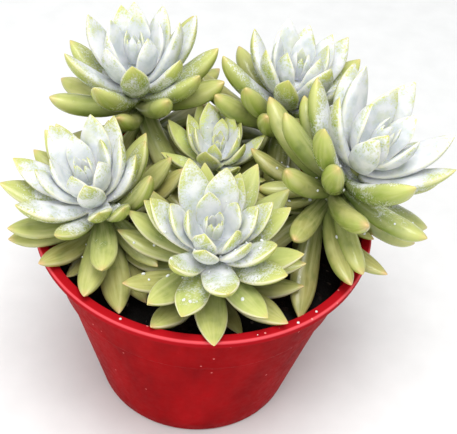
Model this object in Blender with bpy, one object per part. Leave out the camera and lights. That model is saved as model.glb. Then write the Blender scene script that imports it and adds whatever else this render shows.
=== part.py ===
"""Potted sedeveria: six rosettes of fleshy leaves on stems, rooted in a round plastic pot.

Metres, +Z up. The origin is the middle of the pot's flat underside.
Each rosette is a stem with whorls of leaves threaded on it. A whorl is a collar around the stem with its
leaves grown out of the collar's wall, so it is one body, modelled in its own frame: +Z along the stem.
"""

import math

import bmesh
import bpy
from mathutils import Matrix, Vector

MM = 0.001
GAP = 0.35 * MM

# Pot: a tapered bowl with a step in its wall, a flat lip and drain holes in its floor.
POT_HEIGHT = 92 * MM
RIM_RADIUS = 70 * MM
LIP_WIDTH = 4.4 * MM
LIP_HEIGHT = 3.2 * MM
FOOT_RADIUS = 44 * MM
STEP_HEIGHT = 64 * MM
STEP_DEPTH = 1.2 * MM
WALL = 1.6 * MM
FLOOR = 2.0 * MM
LIP_EDGE = 1.0 * MM  # rounding of the lip
FOOT_CHAMFER = 2.0 * MM
FOOT_RISE = 1.5 * MM
FLOOR_FILLET = 2.0 * MM
FILLET_TOP = 4.0 * MM
POT_SIDES = 40
DRAIN_HOLES = 6
DRAIN_RADIUS = 4 * MM
DRAIN_CIRCLE = 30 * MM
DRAIN_SIDES = 12

# Potting mix: a plug with a slightly domed, uneven top.
SOIL_TOP = 78 * MM
SOIL_DOME = 3 * MM
SOIL_SLOPE = ((0.72, 0.3), (0.38, 0.0))  # at these shares of the radius, this share of the dome is lost
SOCKET_SIDES = 10

# Stems: straight out of the mix, then a smooth curve to the growing tip, which they thin towards.
STEM_DEPTH = 13 * MM
STEM_FOOT = 1 * MM  # how far a stem stands straight above the mix before it may curve
STEM_PULL = 0.45  # share of the way from foot to tip that each end holds its direction
STEM_RADIUS = 3.6 * MM
STEM_TIP_RADIUS = 1.3 * MM
STEM_TAPER_LENGTH = 26 * MM
STEM_POINTS = 16

# Collars, and the pointed growing tip that closes the highest one.
COLLAR_WALL = 1.2 * MM
COLLAR_HEIGHT = 2.2 * MM
GROWING_TIP = 6.5 * MM

# Leaves: how much of the collar a root may take, how a leaf turns out of its root and arches,
# and its shape.
WIDEST_ROOT = math.radians(38)
ROOT_TILT = math.radians(80)
ROOT_FLARE = 0.7
ROOT_SHARE = 0.3
LEAF_ARCH = math.radians(26)
BEND_STEPS = 40
LEAF_STATIONS = (0.25, 0.6, 0.875, 1.0)
LEAF_FOOT = 0.42  # width of the foot against the greatest width
LEAF_WIDEST = 0.60  # where a leaf is widest and where it is thickest, as shares of its length
LEAF_THICKEST = 0.42
LEAF_THICKNESS = 0.46  # greatest thickness against the greatest width
CROWN = 0.30  # shares of the thickness above and below the centre line, in the middle and at the margins
KEEL = 0.70
MARGIN_ABOVE = 0.14
MARGIN_BELOW = 0.22

# Whorls from the growing tip down: how far each is below the tip, at a plant of size 1.
WHORL_DROPS = {
    "bud": 0,
    "heart": 2.8 * MM,
    "inner": 5.6 * MM,
    "upper": 8.6 * MM,
    "middle": 11.8 * MM,
    "outer": 15.2 * MM,
    "lower": 19.0 * MM,
    "skirt": 24.0 * MM,
    "ground": 31.0 * MM,
}

# Plants: where the stem leaves the soil, where its growing tip is (mm), which way the rosette leans
# and by how much (degrees), the spacing of its whorls, the breadth of its leaves against their length,
# and its whorls. A leaf is the direction it grows in about the stem, how far it opens from the stem
# (degrees) and its length (mm).
PLANTS = {
    "front": {
        "root": (4, -31),
        "tip": (5, -38, 116),
        "lean": (-80, 12),
        "size": 1.02,
        "breadth": 0.34,
        "whorls": {
            "bud": [(60, 8, 11), (180, 8, 11), (300, 8, 11)],
            "heart": [(38, 14, 19), (110, 16, 19), (180, 18, 19), (252, 18, 20), (320, 18, 19)],
            "inner": [(20, 28, 24), (84, 28, 29), (174, 30, 25), (260, 28, 22), (320, 30, 24)],
            "upper": [
                (28, 42, 28), (72, 44, 28), (118, 42, 33), (170, 41, 31), (236, 46, 28), (284, 52, 33),
                (338, 40, 31),
            ],
            "middle": [
                (26, 56, 32), (66, 58, 35), (102, 58, 31), (157, 62, 29), (257, 67, 34), (330, 55, 34),
            ],
            "outer": [
                (353, 58, 35), (45, 72, 37), (90, 74, 31), (164, 70, 32), (234, 69, 33), (309, 71, 34),
            ],
            "lower": [(2, 82, 33), (60, 88, 34), (171, 80, 33), (277, 75, 37), (230, 77, 29)],
            "skirt": [
                (30, 100, 30), (80, 100, 30), (139, 60, 35), (210, 72, 33), (319, 76, 38),
                (170, 100, 32), (270, 90, 24),
            ],
            "ground": [(242, 70, 37), (303, 95, 24), (355, 80, 34)],
        },
    },
    "left": {
        "root": (-38, -11),
        "tip": (-45, -18, 119),
        "lean": (200, 14),
        "size": 1.06,
        "breadth": 0.33,
        "whorls": {
            "bud": [(20, 8, 11), (140, 8, 11), (260, 8, 11)],
            "heart": [(40, 18, 20), (110, 18, 20), (190, 18, 20), (264, 18, 18), (330, 18, 20)],
            "inner": [(20, 28, 27), (78, 28, 29), (130, 28, 29), (200, 28, 25), (290, 28, 24)],
            "upper": [
                (6, 40, 27), (72, 56, 30), (120, 44, 30), (168, 48, 32), (224, 45, 34), (294, 48, 26),
            ],
            "middle": [
                (24, 44, 32), (84, 71, 31), (128, 58, 33), (180, 58, 35), (253, 52, 28), (317, 46, 28),
            ],
            "outer": [
                (62, 82, 32), (140, 72, 34), (213, 58, 35), (284, 69, 35), (351, 42, 34),
                (315, 110, 30),
            ],
            "lower": [(28, 64, 32), (90, 86, 34), (150, 86, 34), (210, 68, 35), (270, 78, 38)],
            "skirt": [
                (60, 98, 28), (120, 96, 30), (237, 64, 34), (284, 90, 40), (328, 92, 28), (25, 65, 34),
            ],
            "ground": [(20, 104, 28), (300, 95, 34), (245, 85, 25), (65, 80, 38)],
        },
    },
    "back_left": {
        "root": (-30, 40),
        "tip": (-35, 42, 135),
        "lean": (150, 5),
        "size": 1.2,
        "breadth": 0.32,
        "whorls": {
            "bud": [(30, 8, 13), (150, 8, 13), (270, 8, 13)],
            "heart": [(30, 18, 22), (88, 15, 23), (150, 18, 22), (215, 18, 22), (310, 18, 22)],
            "inner": [(54, 28, 30), (112, 28, 29), (164, 28, 31), (240, 28, 26), (350, 28, 33)],
            "upper": [(24, 40, 36), (96, 40, 34), (212, 45, 35), (278, 40, 32), (325, 45, 30)],
            "middle": [
                (50, 54, 38), (105, 54, 36), (158, 54, 33), (251, 52, 36), (327, 57, 36), (2, 56, 37),
            ],
            "outer": [(75, 70, 36), (125, 70, 36), (212, 66, 37), (301, 58, 33), (345, 67, 38)],
            "lower": [(40, 86, 38), (95, 86, 38), (151, 86, 40), (265, 58, 31), (300, 120, 38)],
            "skirt": [(78, 98, 34), (130, 98, 34), (205, 90, 32), (245, 105, 22), (325, 115, 25)],
            "ground": [(300, 110, 38), (55, 95, 38), (95, 90, 34)],
        },
    },
    "back_right": {
        "root": (24, 42),
        "tip": (33, 46, 132),
        "lean": (60, 8),
        "size": 1.12,
        "breadth": 0.33,
        "whorls": {
            "bud": [(90, 8, 12), (210, 8, 12), (330, 8, 12)],
            "heart": [(20, 18, 21), (80, 18, 22), (160, 18, 21), (230, 18, 20), (310, 18, 20)],
            "inner": [(50, 28, 28), (114, 28, 30), (212, 34, 27), (300, 33, 28)],
            "upper": [(48, 42, 35), (86, 42, 33), (156, 40, 31), (254, 45, 30), (330, 42, 28)],
            "middle": [(40, 56, 37), (100, 56, 36), (196, 58, 37), (300, 50, 23)],
            "outer": [(10, 70, 34), (60, 72, 36), (136, 70, 34), (226, 57, 35), (275, 60, 24)],
            "lower": [
                (30, 86, 34), (90, 88, 36), (210, 70, 37), (247, 59, 34), (320, 80, 20),
                (275, 120, 38),
            ],
            "skirt": [(72, 92, 30), (163, 78, 40), (305, 120, 38), (250, 120, 34)],
            "ground": [(140, 100, 38), (185, 115, 38), (70, 100, 16)],
        },
    },
    "right": {
        "root": (42, -2),
        "tip": (63, 0, 133),
        "lean": (5, 24),
        "size": 1.22,
        "breadth": 0.31,
        "whorls": {
            "bud": [(0, 8, 14), (120, 8, 14), (240, 8, 14)],
            "heart": [(44, 20, 24), (100, 18, 28), (180, 18, 24), (250, 22, 22), (320, 18, 23)],
            "inner": [(2, 28, 36), (78, 28, 37), (132, 35, 36), (190, 44, 33), (242, 33, 27)],
            "upper": [(31, 53, 38), (75, 42, 40), (113, 57, 42), (348, 42, 36)],
            "middle": [(22, 70, 41), (66, 54, 38), (156, 54, 38), (212, 54, 38), (283, 42, 38)],
            "outer": [
                (7, 91, 42), (50, 72, 38), (92, 70, 38), (138, 72, 34), (180, 70, 36), (234, 55, 35),
                (322, 70, 36),
            ],
            "lower": [
                (4, 96, 42), (55, 90, 36), (100, 86, 34), (152, 79, 41), (217, 75, 37), (269, 63, 38),
                (295, 100, 34), (190, 125, 28),
            ],
            "skirt": [
                (40, 90, 26), (160, 98, 32), (246, 91, 34), (288, 96, 37), (330, 85, 20),
                (205, 120, 19),
            ],
            "ground": [
                (276, 121, 42), (314, 79, 36), (225, 120, 38), (190, 85, 34), (125, 125, 28),
                (60, 85, 30),
            ],
        },
    },
    "middle": {
        "root": (3, 21),
        "tip": (3, 18, 112),
        "lean": (-90, 6),
        "size": 0.76,
        "breadth": 0.32,
        "whorls": {
            "bud": [(80, 8, 8), (200, 8, 8), (320, 8, 8)],
            "heart": [(20, 18, 15), (86, 18, 14), (188, 22, 17), (260, 18, 14), (336, 18, 15)],
            "inner": [(68, 24, 18), (114, 28, 22), (175, 28, 20), (254, 33, 23), (330, 28, 18)],
            "upper": [(2, 40, 23), (52, 36, 17), (88, 44, 22), (150, 32, 22), (300, 45, 20)],
            "middle": [(24, 56, 23), (66, 56, 19), (120, 40, 25), (163, 46, 26), (203, 55, 23)],
            "outer": [
                (30, 64, 22), (100, 70, 23), (150, 64, 25), (190, 60, 23), (240, 70, 24),
                (330, 66, 22),
            ],
            "lower": [(70, 86, 22), (130, 86, 22), (190, 86, 24), (250, 86, 22)],
        },
    },
}

# Colours (linear) and roughness. Leaves go from the inner white to the outer green, whorl by whorl.
POT_FINISH = ((0.36, 0.008, 0.012), 0.4)
SOIL_FINISH = ((0.012, 0.009, 0.007), 0.95)
STEM_FINISH = ((0.36, 0.36, 0.16), 0.6)
OUTER_GREEN = (0.40, 0.46, 0.17)
INNER_WHITE = (0.72, 0.78, 0.76)
LEAF_ROUGHNESS = 0.5


def clear_scene():
    for obj in list(bpy.data.objects):
        bpy.data.objects.remove(obj)


def material(name, finish):
    colour, roughness = finish
    made = bpy.data.materials.new(f"{name}_finish")
    made.use_nodes = True
    shader = made.node_tree.nodes["Principled BSDF"]
    shader.inputs["Base Color"].default_value = (*colour, 1)
    shader.inputs["Roughness"].default_value = roughness
    return made


def mesh_object(name, bm, finish, place=None):
    mesh = bpy.data.meshes.new(name)
    bm.to_mesh(mesh)
    bm.free()
    mesh.materials.append(material(name, finish))
    mesh.shade_smooth()
    obj = bpy.data.objects.new(name, mesh)
    bpy.context.scene.collection.objects.link(obj)
    if place is not None:
        obj.matrix_world = place
    return obj


def cut(obj, cutter, name):
    cutter.hide_render = True
    cutter.display_type = "WIRE"
    modifier = obj.modifiers.new(name, "BOOLEAN")
    modifier.operation = "DIFFERENCE"
    modifier.object = cutter


def turned(profile, sides):
    """A closed solid turned about Z from (radius, height) points, which start and end on the axis."""
    bm = bmesh.new()
    points = [bm.verts.new((r, 0, z)) for r, z in profile]
    edges = [bm.edges.new(pair) for pair in zip(points, points[1:])]
    bmesh.ops.spin(
        bm, geom=points + edges, cent=(0, 0, 0), axis=(0, 0, 1), angle=math.tau, steps=sides,
        use_merge=True,
    )
    bmesh.ops.remove_doubles(bm, verts=bm.verts, dist=0.001 * MM)
    bmesh.ops.recalc_face_normals(bm, faces=bm.faces)
    return bm


def wall_radius(height, inset=0.0):
    """Radius of the pot's outer wall at a height, less an inset."""
    top = RIM_RADIUS - LIP_WIDTH + WALL
    radius = FOOT_RADIUS + (top - STEP_DEPTH - FOOT_RADIUS) * height / POT_HEIGHT
    return radius + (STEP_DEPTH if height > STEP_HEIGHT else 0) - inset


def pot_profile():
    under_lip = POT_HEIGHT - LIP_HEIGHT
    edge = LIP_EDGE
    bore = RIM_RADIUS - LIP_WIDTH
    return [
        (0, 0),
        (FOOT_RADIUS - FOOT_CHAMFER, 0),
        (wall_radius(FOOT_RISE), FOOT_RISE),
        (wall_radius(STEP_HEIGHT), STEP_HEIGHT),
        (wall_radius(STEP_HEIGHT + STEP_DEPTH), STEP_HEIGHT + STEP_DEPTH),
        (wall_radius(under_lip), under_lip),
        (RIM_RADIUS - 0.3 * edge, under_lip),
        (RIM_RADIUS, under_lip + edge),
        (RIM_RADIUS, POT_HEIGHT - edge),
        (RIM_RADIUS - edge, POT_HEIGHT),
        (bore + edge, POT_HEIGHT),
        (bore, POT_HEIGHT - edge),
        (wall_radius(STEP_HEIGHT + STEP_DEPTH + WALL, WALL), STEP_HEIGHT + STEP_DEPTH + WALL),
        (wall_radius(STEP_HEIGHT, WALL), STEP_HEIGHT),
        (wall_radius(FILLET_TOP, WALL), FILLET_TOP),
        (wall_radius(FILLET_TOP, WALL + FLOOR_FILLET), FLOOR),
        (0, FLOOR),
    ]


def make_pot(finish):
    pot = mesh_object("pot", turned(pot_profile(), POT_SIDES), finish)
    bm = bmesh.new()
    for hole in range(DRAIN_HOLES):
        turn = Matrix.Rotation(math.tau * hole / DRAIN_HOLES, 4, "Z")
        bmesh.ops.create_cone(
            bm, cap_ends=True, segments=DRAIN_SIDES, radius1=DRAIN_RADIUS, radius2=DRAIN_RADIUS,
            depth=4 * FLOOR, matrix=turn @ Matrix.Translation((DRAIN_CIRCLE, 0, 0)),
        )
    cut(pot, mesh_object("drain_cutter", bm, finish), "drain_holes")
    return pot


def make_soil(finish):
    """The plug of potting mix, with a socket for each stem."""
    profile = [
        (0, FLOOR + GAP),
        (wall_radius(FILLET_TOP, WALL + FLOOR_FILLET + GAP), FLOOR + GAP),
        (wall_radius(FILLET_TOP, WALL + GAP), FILLET_TOP + GAP),
        (wall_radius(STEP_HEIGHT, WALL + GAP), STEP_HEIGHT),
        (wall_radius(SOIL_TOP, WALL + 2 * GAP), SOIL_TOP - SOIL_DOME),
    ]
    for share, lost in SOIL_SLOPE:
        profile.append((wall_radius(SOIL_TOP) * share, SOIL_TOP - lost * SOIL_DOME))
    profile.append((0, SOIL_TOP))
    soil = mesh_object("soil", turned(profile, POT_SIDES), finish)
    bm = bmesh.new()
    bore = STEM_RADIUS + 2 * GAP
    for plant in PLANTS.values():
        x, y = plant["root"]
        middle = Matrix.Translation((x * MM, y * MM, SOIL_TOP))
        bmesh.ops.create_cone(
            bm, cap_ends=True, segments=SOCKET_SIDES, radius1=bore, radius2=bore,
            depth=2 * (STEM_DEPTH + GAP), matrix=middle,
        )
    cut(soil, mesh_object("socket_cutter", bm, finish), "stem_sockets")
    return soil


def radial(azimuth):
    return Vector((math.cos(azimuth), math.sin(azimuth), 0))


def lean_axis(plant):
    azimuth, angle = (math.radians(a) for a in plant["lean"])
    return radial(azimuth) * math.sin(angle) + Vector((0, 0, math.cos(angle)))


def stem_route(plant):
    """Points from the buried foot to the growing tip: straight up out of the mix, then a smooth curve."""
    x, y = plant["root"]
    start = Vector((x * MM, y * MM, SOIL_TOP + STEM_FOOT))
    end = Vector(plant["tip"]) * MM
    reach = (end - start).length * STEM_PULL
    controls = (start, start + Vector((0, 0, reach)), end - lean_axis(plant) * reach, end)
    route = [start - Vector((0, 0, STEM_DEPTH))]
    for i in range(STEM_POINTS):
        t = i / (STEM_POINTS - 1)
        weights = ((1 - t) ** 3, 3 * t * (1 - t) ** 2, 3 * t * t * (1 - t), t**3)
        route.append(sum((c * w for c, w in zip(controls, weights)), Vector()))
    return route


def stem_radius(drop):
    """The stem swells from its growing tip down to its full radius."""
    share = min(1.0, drop / STEM_TAPER_LENGTH)
    return STEM_TIP_RADIUS + (STEM_RADIUS - STEM_TIP_RADIUS) * math.sin(share * math.pi / 2)


def make_stem(name, plant, finish):
    route = stem_route(plant)
    curve = bpy.data.curves.new(f"{name}_stem", "CURVE")
    curve.dimensions = "3D"
    curve.bevel_depth = 1 * MM
    curve.bevel_resolution = 2
    curve.use_fill_caps = True
    spline = curve.splines.new("POLY")
    spline.points.add(len(route) - 1)
    drop = 0.0
    for i in range(len(route) - 1, -1, -1):
        if i < len(route) - 1:
            drop += (route[i + 1] - route[i]).length
        spline.points[i].co = (*route[i], 1)
        spline.points[i].radius = stem_radius(drop) / MM
    curve.materials.append(material(f"{name}_stem", finish))
    stem = bpy.data.objects.new(f"{name}_stem", curve)
    bpy.context.scene.collection.objects.link(stem)
    return stem


def stem_frame(plant, drop):
    """The frame on the stem at a distance below its growing tip: +Z along the stem, towards the tip."""
    route = stem_route(plant)[::-1]
    left = drop
    for upper, under in zip(route, route[1:]):
        length = (upper - under).length
        if left <= length:
            break
        left -= length
    along = (upper - under).normalized()
    place = Vector((0, 0, 1)).rotation_difference(along).to_matrix().to_4x4()
    place.translation = upper - along * left
    return place


def leaf_outline(s):
    """Half width of a leaf at s along it, as a share of its greatest.

    The foot is narrow, the body wide and the tip pointed.
    """
    if s < LEAF_WIDEST:
        return LEAF_FOOT + (1 - LEAF_FOOT) * math.sin(math.pi / 2 * s / LEAF_WIDEST) ** 1.3
    return 1 - ((s - LEAF_WIDEST) / (1 - LEAF_WIDEST)) ** 1.7


def leaf_depth(s):
    """Thickness of a leaf at s along it, as a share of its greatest."""
    if s < LEAF_THICKEST:
        return 0.5 + 0.5 * math.sin(math.pi / 2 * s / LEAF_THICKEST)
    return 1 - ((s - LEAF_THICKEST) / (1 - LEAF_THICKEST)) ** 2.2


def leaf_frames(leaf, stations):
    """Centre, side and upper normal of the leaf at each station, in the whorl's frame."""
    frames = []
    out = radial(leaf["azimuth"])
    side = Vector((0, 0, 1)).cross(out)
    point = out * leaf["start"]
    flare = max(0.0, ROOT_TILT - leaf["opening"]) * ROOT_FLARE
    for step in range(BEND_STEPS):
        s = (step + 1) / BEND_STEPS
        near = max(0.0, 1 - s / ROOT_SHARE)
        tilt = leaf["opening"] + flare * near**2 + LEAF_ARCH * (0.5 - s)
        along = Vector((0, 0, math.cos(tilt))) + out * math.sin(tilt)
        point = point + along * (leaf["length"] / BEND_STEPS)
        normal = Vector((0, 0, math.sin(tilt))) - out * math.cos(tilt)
        if any(abs(s - station) < 0.5 / BEND_STEPS for station in stations):
            frames.append((s, point.copy(), side, normal))
    return frames


def section_point(leaf, frame, side, top):
    """One of the six corners of a leaf's section: side is -1, 0 or 1, top is 1 on the upper face."""
    s, middle, across, normal = frame
    half = leaf["width"] / 2 * leaf_outline(s)
    depth = leaf["thickness"] * leaf_depth(s)
    above, below = (CROWN, KEEL) if side == 0 else (MARGIN_ABOVE, MARGIN_BELOW)
    return middle + across * side * half + normal * depth * (above if top else -below)


def whorl_leaves(plant, kind):
    """The leaves of one whorl in order round the stem."""
    leaves = []
    for azimuth, opening, length in plant["whorls"][kind]:
        width = length * plant["breadth"] * MM
        leaves.append({
            "azimuth": math.radians(azimuth),
            "opening": math.radians(opening),
            "length": length * MM,
            "width": width,
            "thickness": width * LEAF_THICKNESS,
        })
    return sorted(leaves, key=lambda leaf: leaf["azimuth"])


def collar_corners(leaves):
    """Angles of the collar's corners: one at each leaf's root, and evenly spaced ones between leaves."""
    corners = []
    for leaf, following in zip(leaves, leaves[1:] + leaves[:1]):
        space = (following["azimuth"] - leaf["azimuth"]) % math.tau
        corners.append(leaf["azimuth"])
        bare = space - 2 * WIDEST_ROOT
        if bare > 0:
            parts = math.ceil(bare / WIDEST_ROOT)
            corners += [leaf["azimuth"] + WIDEST_ROOT + bare * i / parts for i in range(parts + 1)]
        else:
            corners.append(leaf["azimuth"] + space / 2)
    return corners


def collar_mesh(profile, corners, closed):
    """A ring, or a button where the profile starts and ends on the axis, spun from corner to corner."""
    bm = bmesh.new()
    points = [bm.verts.new((r * math.cos(corners[0]), r * math.sin(corners[0]), z)) for r, z in profile]
    sides = list(zip(points, points[1:])) + ([(points[-1], points[0])] if closed else [])
    geometry = points + [bm.edges.new(pair) for pair in sides]
    for corner, following in zip(corners, corners[1:] + corners[:1]):
        turn = (following - corner) % math.tau
        spun = bmesh.ops.spin(bm, geom=geometry, cent=(0, 0, 0), axis=(0, 0, 1), angle=turn, steps=1)
        geometry = spun["geom_last"]
    bmesh.ops.remove_doubles(bm, verts=bm.verts, dist=0.001 * MM)
    bmesh.ops.recalc_face_normals(bm, faces=bm.faces)
    return bm


def make_whorl(name, plant, kind, finish):
    """A collar around the stem with its leaves extruded from the collar's wall."""
    size = plant["size"]
    drop = WHORL_DROPS[kind] * size
    leaves = whorl_leaves(plant, kind)
    capped = kind == "bud"
    inner = stem_radius(drop + COLLAR_HEIGHT * size / 2) + GAP
    outer = inner + COLLAR_WALL * size
    low = GAP if capped else -COLLAR_HEIGHT * size / 2
    high = low + COLLAR_HEIGHT * size
    bore = 0 if capped else inner
    profile = [(bore, low), (outer, low), (outer, high), (bore, high)]
    bm = collar_mesh(profile, collar_corners(leaves), not capped)
    if capped:
        middle_of_top = max(bm.verts, key=lambda vert: (vert.co.z, -vert.co.xy.length))
        middle_of_top.co.z += GROWING_TIP * size
    side_of = bm.verts.layers.int.new("side")
    top_of = bm.verts.layers.int.new("top")
    wall = {}
    for face in bm.faces:
        centre = face.calc_center_median()
        if abs(face.normal.z) < 0.1 and face.normal.dot(Vector((centre.x, centre.y, 0))) > 0:
            wall[face] = math.atan2(centre.y, centre.x)
    middle = (low + high) / 2
    rise = Vector((0, 0, middle))
    for leaf in leaves:
        leaf["start"] = outer
        patch = sorted(wall, key=lambda f: math.cos(wall[f] - leaf["azimuth"]))[-2:]
        for vert in {v for f in patch for v in f.verts}:
            offset = math.sin(math.atan2(vert.co.y, vert.co.x) - leaf["azimuth"])
            vert[side_of] = 0 if abs(offset) < 0.01 else (1 if offset > 0 else -1)
            vert[top_of] = 1 if vert.co.z > middle else 0
        for frame in leaf_frames(leaf, LEAF_STATIONS):
            made = bmesh.ops.extrude_face_region(bm, geom=patch)["geom"]
            bmesh.ops.delete(bm, geom=patch, context="FACES_ONLY")
            patch = [g for g in made if isinstance(g, bmesh.types.BMFace)]
            grown = [g for g in made if isinstance(g, bmesh.types.BMVert)]
            if frame[0] > 0.99:
                bmesh.ops.pointmerge(bm, verts=grown, merge_co=frame[1] + rise)
            else:
                for vert in grown:
                    vert.co = section_point(leaf, frame, vert[side_of], vert[top_of]) + rise
    bmesh.ops.recalc_face_normals(bm, faces=bm.faces)
    node = f"{name}_bud" if capped else f"{name}_{kind}_leaves"
    return mesh_object(node, bm, finish, stem_frame(plant, drop))


def leaf_finish(kind):
    """Leaves go from the powdery white at the growing tip to the bare green of the lowest whorl."""
    share = list(WHORL_DROPS).index(kind) / (len(WHORL_DROPS) - 1)
    colour = tuple(white + (green - white) * share for white, green in zip(INNER_WHITE, OUTER_GREEN))
    return colour, LEAF_ROUGHNESS


def make_plant(name, plant):
    make_stem(name, plant, STEM_FINISH)
    for kind in plant["whorls"]:
        make_whorl(name, plant, kind, leaf_finish(kind))


def main():
    clear_scene()
    make_pot(POT_FINISH)
    make_soil(SOIL_FINISH)
    for name, plant in PLANTS.items():
        make_plant(name, plant)


main()
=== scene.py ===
import math
import random

import bmesh
import bpy
import numpy as np
from mathutils import Euler, Matrix, Vector, noise


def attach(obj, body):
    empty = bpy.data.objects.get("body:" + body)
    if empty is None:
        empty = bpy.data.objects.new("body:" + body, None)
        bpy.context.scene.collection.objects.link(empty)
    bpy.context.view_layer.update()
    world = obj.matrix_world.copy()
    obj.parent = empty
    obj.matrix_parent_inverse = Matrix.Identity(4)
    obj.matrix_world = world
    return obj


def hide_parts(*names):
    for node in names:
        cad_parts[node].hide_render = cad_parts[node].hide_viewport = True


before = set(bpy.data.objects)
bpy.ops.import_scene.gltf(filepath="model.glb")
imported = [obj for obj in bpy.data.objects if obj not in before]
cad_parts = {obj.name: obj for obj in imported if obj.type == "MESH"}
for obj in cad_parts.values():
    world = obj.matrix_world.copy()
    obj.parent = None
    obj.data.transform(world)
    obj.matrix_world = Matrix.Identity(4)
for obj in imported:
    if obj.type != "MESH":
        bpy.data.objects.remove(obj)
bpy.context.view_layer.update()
mm = 0.001
print("frame:", len(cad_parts), "nodes")


def hexColour(code):
    channels = [int(code[i:i + 2], 16) / 255 for i in (1, 3, 5)]
    linear = [c / 12.92 if c <= 0.04045 else ((c + 0.055) / 1.055) ** 2.4 for c in channels]
    return (*linear, 1.0)


def addNode(tree, kind, inputs=None, stops=None, **settings):
    # inputs: socket name or number to a value or another node's output; stops: a ramp's places and colours.
    # Map Range: 0 is the value, 1 and 2 the range it leaves, 3 and 4 the range it reaches.
    # Mix: 0 is the share of the second colour, 6 and 7 are the colours.
    node = tree.nodes.new("ShaderNode" + kind)
    for name, value in settings.items():
        setattr(node, name, value)
    for name, value in (inputs or {}).items():
        if isinstance(value, bpy.types.NodeSocket):
            tree.links.new(value, node.inputs[name])
        else:
            node.inputs[name].default_value = value
    if stops:
        elements = node.color_ramp.elements
        while len(elements) < len(stops):
            elements.new(0.5)
        for element, (place, colour) in zip(elements, stops):
            element.position = place
            element.color = colour
    return node


def newMaterial(name):
    made = bpy.data.materials.new(name)
    made.use_nodes = True
    return made, made.node_tree, made.node_tree.nodes["Principled BSDF"]


def addPiece(name, bm, finish, nodes=(), levels=0):
    mesh = bpy.data.meshes.new(name)
    bm.to_mesh(mesh)
    bm.free()
    mesh.materials.append(finish)
    mesh.shade_smooth()
    piece = bpy.data.objects.new(name, mesh)
    bpy.context.scene.collection.objects.link(piece)
    if levels:
        smooth = piece.modifiers.new("smooth", "SUBSURF")
        smooth.levels = levels
        smooth.render_levels = levels
    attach(piece, "root")
    if nodes:
        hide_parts(*nodes)
    return piece


def mergedCopy(node):
    # the solid's mesh as one joined skin
    bm = bmesh.new()
    bm.from_mesh(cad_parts[node].data)
    bmesh.ops.remove_doubles(bm, verts=bm.verts, dist=0.02 * mm)
    bm.verts.index_update()
    return bm


# leaves: fleshy, a waxy green skin under a white powder that rubs off

leafColours = {
    # painted light: a paler green that lightens a whole plant, as if lit from above
    "freshGreen": "#D6E08C",
    "youngGreen": "#BBC968",
    "fullGreen": "#9FA965",
    "oldGreen": "#9D965A",
    "underGreen": "#7E982E",
    # random darker blotches, and painted shade towards each leaf's foot
    "footGreen": "#62763A",
    "limeTip": "#CACA76",
    "streak": "#CDCA90",
    "margin": "#E9E1BE",
    "rim": "#F4F1DC",
    "blush": "#D99C7E",
    "powder": "#DDDEE1",
    "powderShade": "#C4CACF",
}

# what each point of a leaf tells its skin
leafLayers = ("leafAlong", "leafAcross", "leafUpper", "leafAge", "leafPowder", "leafSeed", "leafFresh")


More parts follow.
